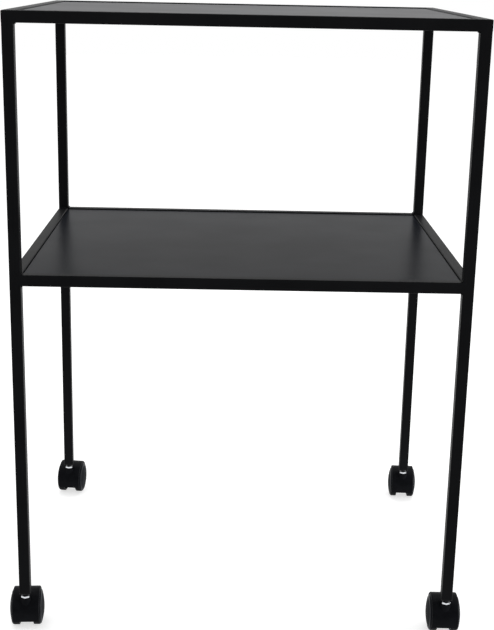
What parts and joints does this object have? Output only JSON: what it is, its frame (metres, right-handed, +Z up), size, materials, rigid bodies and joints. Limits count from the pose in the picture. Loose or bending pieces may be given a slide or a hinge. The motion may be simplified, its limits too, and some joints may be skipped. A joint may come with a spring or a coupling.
{
  "type": "serving cart",
  "caption": "Serving cart with a slim square-tube steel frame, recessed sheet-steel trays and hooded swivel casters.",
  "frame": {"origin": "on the floor, under the middle of the whole cart's footprint with the casters trailing backwards", "axes": "+X to the right along the front, +Y from the front to the back, +Z up"},
  "size_m": [0.6352, 0.5431, 0.84],
  "materials": {
    "frame_coat": "satin black powder coat on square tube",
    "tray_coat": "satin black powder coat on folded sheet",
    "plug_plastic": "matt black moulded plastic",
    "hood_plastic": "semi-gloss black moulded plastic",
    "wheel_plastic": "semi-gloss black moulded plastic",
    "zinc_steel": "bright zinc plate",
    "turned_steel": "plain turned steel",
    "spring_steel": "oiled spring steel"
  },
  "bodies": {
    "frame": {"top_front_rail": "frame_coat", "top_back_rail": "frame_coat", "top_left_rail": "frame_coat", "top_right_rail": "frame_coat", "lower_front_rail": "frame_coat", "lower_back_rail": "frame_coat", "lower_left_rail": "frame_coat", "lower_right_rail": "frame_coat", "top_tray": "tray_coat", "top_tray_tabs": "frame_coat", "lower_tray": "tray_coat", "lower_tray_tabs": "frame_coat", "leg_bushes": "turned_steel", "front_left_leg": "frame_coat", "front_left_leg_plug": "plug_plastic", "front_left_stem": "zinc_steel", "front_left_stem_ring": "spring_steel", "front_right_leg": "frame_coat", "front_right_leg_plug": "plug_plastic", "front_right_stem": "zinc_steel", "front_right_stem_ring": "spring_steel", "back_left_leg": "frame_coat", "back_left_leg_plug": "plug_plastic", "back_left_stem": "zinc_steel", "back_left_stem_ring": "spring_steel", "back_right_leg": "frame_coat", "back_right_leg_plug": "plug_plastic", "back_right_stem": "zinc_steel", "back_right_stem_ring": "spring_steel"},
    "front_left_caster": {"front_left_hood": "hood_plastic", "front_left_axle": "turned_steel", "front_left_axle_rings": "spring_steel"},
    "front_left_left_wheel": {"front_left_left_wheel": "wheel_plastic"},
    "front_left_right_wheel": {"front_left_right_wheel": "wheel_plastic"},
    "front_right_caster": {"front_right_hood": "hood_plastic", "front_right_axle": "turned_steel", "front_right_axle_rings": "spring_steel"},
    "front_right_left_wheel": {"front_right_left_wheel": "wheel_plastic"},
    "front_right_right_wheel": {"front_right_right_wheel": "wheel_plastic"},
    "back_left_caster": {"back_left_hood": "hood_plastic", "back_left_axle": "turned_steel", "back_left_axle_rings": "spring_steel"},
    "back_left_left_wheel": {"back_left_left_wheel": "wheel_plastic"},
    "back_left_right_wheel": {"back_left_right_wheel": "wheel_plastic"},
    "back_right_caster": {"back_right_hood": "hood_plastic", "back_right_axle": "turned_steel", "back_right_axle_rings": "spring_steel"},
    "back_right_left_wheel": {"back_right_left_wheel": "wheel_plastic"},
    "back_right_right_wheel": {"back_right_right_wheel": "wheel_plastic"}
  },
  "joints": [
    {"name": "front_left_swivel", "type": "hinge", "parent": "frame", "child": "front_left_caster", "pos_m": [-0.2925, -0.26164, 0.05], "axis": [0, 0, 1], "continuous": true},
    {"name": "front_left_left_wheel_spin", "type": "hinge", "parent": "front_left_caster", "child": "front_left_left_wheel", "pos_m": [-0.30869, -0.24259, 0.025], "axis": [0.9981, 0.061, 0], "continuous": true},
    {"name": "front_left_right_wheel_spin", "type": "hinge", "parent": "front_left_caster", "child": "front_left_right_wheel", "pos_m": [-0.27875, -0.24076, 0.025], "axis": [0.9981, 0.061, 0], "continuous": true},
    {"name": "front_right_swivel", "type": "hinge", "parent": "frame", "child": "front_right_caster", "pos_m": [0.2925, -0.26164, 0.05], "axis": [0, 0, 1], "continuous": true},
    {"name": "front_right_left_wheel_spin", "type": "hinge", "parent": "front_right_caster", "child": "front_right_left_wheel", "pos_m": [0.27785, -0.24138, 0.025], "axis": [0.9998, -0.0175, 0], "continuous": true},
    {"name": "front_right_right_wheel_spin", "type": "hinge", "parent": "front_right_caster", "child": "front_right_right_wheel", "pos_m": [0.30785, -0.24191, 0.025], "axis": [0.9998, -0.0175, 0], "continuous": true},
    {"name": "back_left_swivel", "type": "hinge", "parent": "frame", "child": "back_left_caster", "pos_m": [-0.2925, 0.22336, 0.05], "axis": [0, 0, 1], "continuous": true},
    {"name": "back_left_left_wheel_spin", "type": "hinge", "parent": "back_left_caster", "child": "back_left_left_wheel", "pos_m": [-0.30495, 0.24504, 0.025], "axis": [0.9925, -0.1219, 0], "continuous": true},
    {"name": "back_left_right_wheel_spin", "type": "hinge", "parent": "back_left_caster", "child": "back_left_right_wheel", "pos_m": [-0.27517, 0.24138, 0.025], "axis": [0.9925, -0.1219, 0], "continuous": true},
    {"name": "back_right_swivel", "type": "hinge", "parent": "frame", "child": "back_right_caster", "pos_m": [0.2925, 0.22336, 0.05], "axis": [0, 0, 1], "continuous": true},
    {"name": "back_right_left_wheel_spin", "type": "hinge", "parent": "back_right_caster", "child": "back_right_left_wheel", "pos_m": [0.27875, 0.24424, 0.025], "axis": [0.9981, -0.061, 0], "continuous": true},
    {"name": "back_right_right_wheel_spin", "type": "hinge", "parent": "back_right_caster", "child": "back_right_right_wheel", "pos_m": [0.30869, 0.24241, 0.025], "axis": [0.9981, -0.061, 0], "continuous": true}
  ]
}
